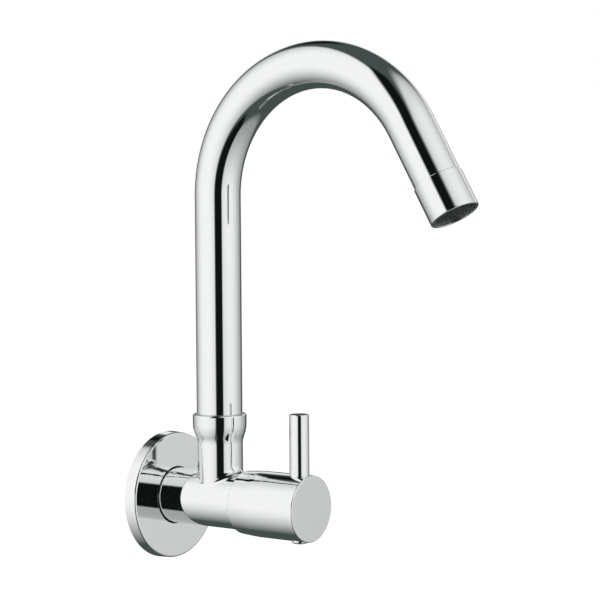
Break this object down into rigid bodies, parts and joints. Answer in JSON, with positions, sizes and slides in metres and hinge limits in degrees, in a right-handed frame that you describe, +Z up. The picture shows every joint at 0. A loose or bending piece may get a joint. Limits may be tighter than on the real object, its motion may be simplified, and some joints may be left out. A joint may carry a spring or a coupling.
{
  "type": "wall faucet",
  "caption": "Wall-mounted tap: round wall flange, horizontal valve body with a turning knob and lever pin, and a swivelling gooseneck spout with an aerator.",
  "frame": {"origin": "centre of the wall flange's back, on the axis of the horizontal valve body and of its inlet thread, in the plane of the wall", "axes": "+Y into the wall along the inlet, -Y to the user, +Z up along the spout's riser, +X to the right as the user faces the wall"},
  "size_m": [0.0618, 0.1945, 0.2479],
  "materials": {
    "chrome": "polished chrome plate on brass",
    "brass": "machined, uncoated",
    "stainless": "plain stainless steel",
    "rubber": "black EPDM",
    "ceramic": "lapped alumina ceramic, opaque",
    "white_acetal": "natural white acetal",
    "grey_acetal": "dark grey moulded acetal"
  },
  "bodies": {
    "valve": {"wall_flange": "chrome", "flange_o_ring": "rubber", "inlet_nipple": "brass", "inlet_strainer": "stainless", "inlet_washer": "rubber", "valve_body": "chrome", "seat_seal": "rubber", "fixed_ceramic_disc": "ceramic", "headwork_housing": "brass", "headwork_o_ring": "rubber", "spout_glide_ring": "white_acetal", "spout_lock_screw": "stainless"},
    "handle": {"moving_ceramic_disc": "ceramic", "spindle": "brass", "spindle_o_ring_back": "rubber", "spindle_o_ring_front": "rubber", "thrust_washer": "white_acetal", "spindle_clip": "stainless", "handle_insert": "brass", "handle_screw": "stainless", "handle_knob": "chrome", "lever_pin": "chrome", "lever_screw": "chrome"},
    "spout": {"spout_bush": "brass", "spout_o_ring_lower": "rubber", "spout_o_ring_upper": "rubber", "spout_tube": "chrome", "outlet_bush": "brass", "aerator_sleeve": "chrome", "aerator_seal": "rubber", "aerator_screen": "stainless", "aerator_jet_disc": "grey_acetal", "aerator_grid": "grey_acetal"}
  },
  "joints": [
    {"name": "handle_turn", "type": "hinge", "parent": "valve", "child": "handle", "pos_m": [0, -0.07, 0], "axis": [0, -1, 0], "range_deg": [0, 90]},
    {"name": "spout_swivel", "type": "hinge", "parent": "valve", "child": "spout", "pos_m": [0, -0.034, 0], "axis": [0, 0, 1], "range_deg": [-90, 90]}
  ]
}
